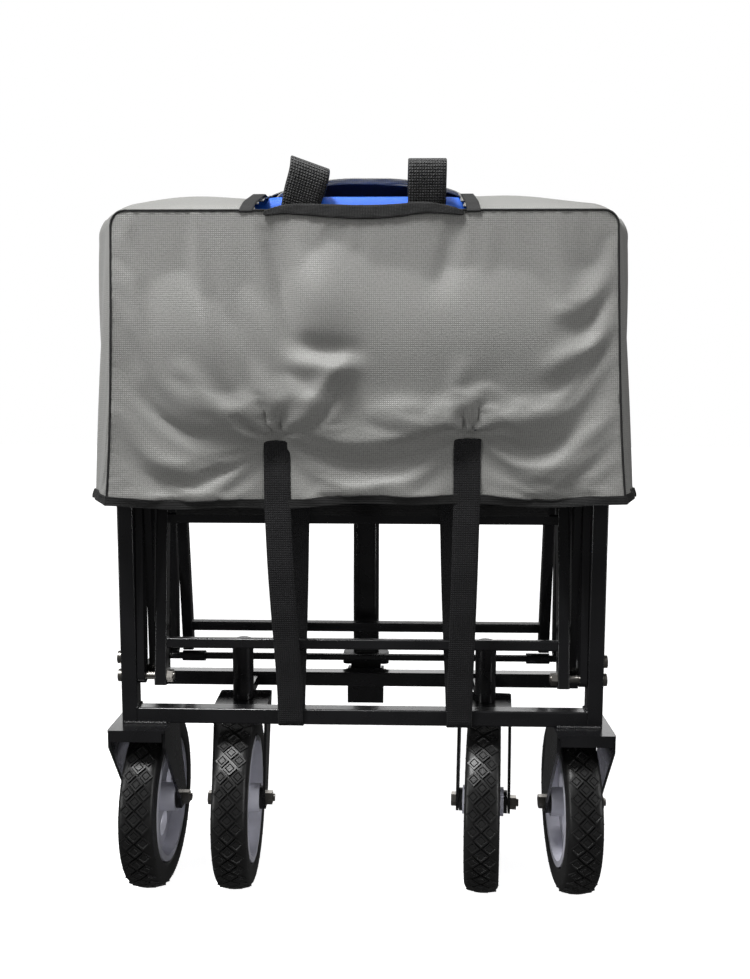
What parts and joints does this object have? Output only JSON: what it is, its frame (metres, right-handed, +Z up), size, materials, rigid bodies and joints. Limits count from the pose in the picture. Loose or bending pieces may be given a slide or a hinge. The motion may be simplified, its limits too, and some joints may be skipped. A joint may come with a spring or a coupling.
{
  "type": "folding camp wagon",
  "caption": "Folding camp wagon, folded upright under a drop-over storage cover, with casters, pull handle and unfolding frame.",
  "frame": {"origin": "on the ground, at the middle of the folded wagon's footprint", "axes": "+X across the wagon, +Y from the rear frame to the front frame, +Z up"},
  "size_m": [0.528, 0.225, 0.757],
  "materials": {
    "frame_paint": "gloss black powder coat",
    "zinc_steel": "bright zinc",
    "hub_plastic": "light grey moulded plastic",
    "tyre_rubber": "black moulded rubber",
    "bush_plastic": "black nylon",
    "black_plastic": "black moulded plastic",
    "cover_fabric": "grey woven polyester",
    "tub_fabric": "bright blue woven polyester",
    "webbing": "black woven webbing",
    "mat_fabric": "black woven polyester over a stiffener",
    "grip_foam": "black soft grip"
  },
  "bodies": {
    "rear_frame": {"rear_post_left": "frame_paint", "rear_post_right": "frame_paint", "rear_bottom_rail": "frame_paint", "rear_top_rail": "frame_paint", "rear_fork_left": "frame_paint", "rear_fork_right": "frame_paint", "rear_axle_left": "zinc_steel", "rear_axle_right": "zinc_steel", "rear_pivot_bolts": "zinc_steel", "tub_rear_panel": "tub_fabric"},
    "floor_rear": {"floor_rear_sides": "frame_paint", "floor_rear_bars": "frame_paint", "floor_mat_rear": "mat_fabric", "middle_hinge_rod": "zinc_steel", "middle_sleeve": "tub_fabric", "grab_loops": "webbing"},
    "floor_front": {"floor_front_sides": "frame_paint", "floor_front_bars": "frame_paint", "floor_mat_front": "mat_fabric"},
    "front_frame": {"front_post_left": "frame_paint", "front_post_right": "frame_paint", "front_bottom_rail": "frame_paint", "front_top_rail": "frame_paint", "front_pivot_bolts": "zinc_steel", "front_tie_rod": "frame_paint", "caster_housings": "frame_paint", "handle_bracket": "frame_paint", "handle_pin": "zinc_steel", "tub_front_panel": "tub_fabric"},
    "links_rear_outer": {"link_rear_outer": "frame_paint"},
    "links_rear_inner": {"link_rear_inner": "frame_paint"},
    "links_front_outer": {"link_front_outer": "frame_paint"},
    "links_front_inner": {"link_front_inner": "frame_paint"},
    "top_brackets": {"side_top_brackets": "black_plastic"},
    "foot_brackets": {"side_foot_brackets": "black_plastic"},
    "tub_middle_rear": {"tub_side_rear": "tub_fabric"},
    "tub_middle_front": {"tub_side_front": "tub_fabric"},
    "cover": {"cover_shell": "cover_fabric", "cover_straps": "webbing"},
    "handle": {"handle_yoke": "black_plastic", "handle_outer_tube": "frame_paint"},
    "handle_slide": {"handle_inner_tube": "frame_paint", "handle_grip": "grip_foam"},
    "wheel_rear_left": {"tyre_rear_left": "tyre_rubber", "hub_rear_left": "hub_plastic", "bushes_rear_left": "bush_plastic"},
    "caster_left": {"caster_fork_left": "frame_paint", "caster_axle_left": "zinc_steel"},
    "wheel_front_left": {"tyre_front_left": "tyre_rubber", "hub_front_left": "hub_plastic", "bushes_front_left": "bush_plastic"},
    "wheel_rear_right": {"tyre_rear_right": "tyre_rubber", "hub_rear_right": "hub_plastic", "bushes_rear_right": "bush_plastic"},
    "caster_right": {"caster_fork_right": "frame_paint", "caster_axle_right": "zinc_steel"},
    "wheel_front_right": {"tyre_front_right": "tyre_rubber", "hub_front_right": "hub_plastic", "bushes_front_right": "bush_plastic"}
  },
  "joints": [
    {"name": "unfold", "type": "hinge", "parent": "rear_frame", "child": "floor_rear", "pos_m": [0, -0.05455, 0.243], "axis": [-1, 0, 0], "range_deg": [0, 82.47]},
    {"name": "middle_fold", "type": "hinge", "parent": "floor_rear", "child": "floor_front", "pos_m": [0, 0.00745, 0.71192], "axis": [1, 0, 0], "range_deg": [0, 164.96]},
    {"name": "front_fold", "type": "hinge", "parent": "floor_front", "child": "front_frame", "pos_m": [0, 0.06945, 0.243], "axis": [-1, 0, 0], "range_deg": [0, 82.49]},
    {"name": "link_rear_swing", "type": "hinge", "parent": "rear_frame", "child": "links_rear_outer", "pos_m": [0, -0.05455, 0.243], "axis": [-1, 0, 0], "range_deg": [0, 76.52]},
    {"name": "link_rear_cross", "type": "hinge", "parent": "links_rear_outer", "child": "links_rear_inner", "pos_m": [0, -0.04605, 0.46104], "axis": [1, 0, 0], "range_deg": [0, 153.01]},
    {"name": "link_front_swing", "type": "hinge", "parent": "front_frame", "child": "links_front_outer", "pos_m": [0, 0.06945, 0.243], "axis": [1, 0, 0], "range_deg": [0, 76.52]},
    {"name": "link_front_cross", "type": "hinge", "parent": "links_front_outer", "child": "links_front_inner", "pos_m": [0, 0.06095, 0.46104], "axis": [-1, 0, 0], "range_deg": [0, 153.01]},
    {"name": "top_bracket_pin", "type": "hinge", "parent": "links_rear_outer", "child": "top_brackets", "pos_m": [0, -0.03755, 0.67909], "axis": [1, 0, 0], "range_deg": [0, 76.52]},
    {"name": "foot_bracket_pin", "type": "hinge", "parent": "links_rear_inner", "child": "foot_brackets", "pos_m": [0, -0.03755, 0.243], "axis": [-1, 0, 0], "range_deg": [0, 76.52]},
    {"name": "tub_rear_spread", "type": "slide", "parent": "rear_frame", "child": "tub_middle_rear", "axis": [0, 1, 0], "range_m": [0, 0.4115], "deforming": ["tub_side_rear"]},
    {"name": "tub_front_spread", "type": "slide", "parent": "front_frame", "child": "tub_middle_front", "axis": [0, -1, 0], "range_m": [0, 0.4115], "deforming": ["tub_side_front"]},
    {"name": "cover_lift", "type": "slide", "parent": "rear_frame", "child": "cover", "axis": [0, 0, 1], "range_m": [0, 0.5305], "deforming": ["cover_shell", "cover_straps"]},
    {"name": "rear_wheel_left_spin", "type": "hinge", "parent": "rear_frame", "child": "wheel_rear_left", "pos_m": [-0.225, -0.00855, 0.092], "axis": [1, 0, 0], "continuous": true},
    {"name": "caster_left_swivel", "type": "hinge", "parent": "front_frame", "child": "caster_left", "pos_m": [-0.135, 0.02745, 0.2], "axis": [0, 0, 1], "range_deg": [-12, 185]},
    {"name": "front_wheel_left_spin", "type": "hinge", "parent": "caster_left", "child": "wheel_front_left", "pos_m": [-0.13406, -0.00854, 0.092], "axis": [0.9997, 0.0262, 0], "continuous": true},
    {"name": "rear_wheel_right_spin", "type": "hinge", "parent": "rear_frame", "child": "wheel_rear_right", "pos_m": [0.225, -0.00855, 0.092], "axis": [1, 0, 0], "continuous": true},
    {"name": "caster_right_swivel", "type": "hinge", "parent": "front_frame", "child": "caster_right", "pos_m": [0.135, 0.02745, 0.2], "axis": [0, 0, 1], "range_deg": [-180, 14]},
    {"name": "front_wheel_right_spin", "type": "hinge", "parent": "caster_right", "child": "wheel_front_right", "pos_m": [0.13093, -0.00832, 0.092], "axis": [0.9936, -0.1132, 0], "continuous": true},
    {"name": "handle_swing", "type": "hinge", "parent": "front_frame", "child": "handle", "pos_m": [0, 0.09945, 0.198], "axis": [-1, 0, 0], "range_deg": [0, 110]},
    {"name": "handle_extend", "type": "slide", "parent": "handle", "child": "handle_slide", "axis": [0, 0, 1], "range_m": [0, 0.23]}
  ],
  "couplings": [
    {"joint": "middle_fold", "follows": "unfold", "ratio": 2},
    {"joint": "front_fold", "follows": "unfold", "ratio": 1},
    {"joint": "link_rear_swing", "follows": "unfold", "ratio": 0.92757},
    {"joint": "link_rear_cross", "follows": "unfold", "ratio": 1.8551},
    {"joint": "link_front_swing", "follows": "unfold", "ratio": 0.92757},
    {"joint": "link_front_cross", "follows": "unfold", "ratio": 1.8551},
    {"joint": "top_bracket_pin", "follows": "unfold", "ratio": 0.92757},
    {"joint": "foot_bracket_pin", "follows": "unfold", "ratio": 0.92757},
    {"joint": "tub_rear_spread", "follows": "unfold", "m_per_rad": 0.28555},
    {"joint": "tub_front_spread", "follows": "unfold", "m_per_rad": 0.28555},
    {"joint": "cover_lift", "follows": "unfold", "m_per_rad": 0.36822}
  ]
}
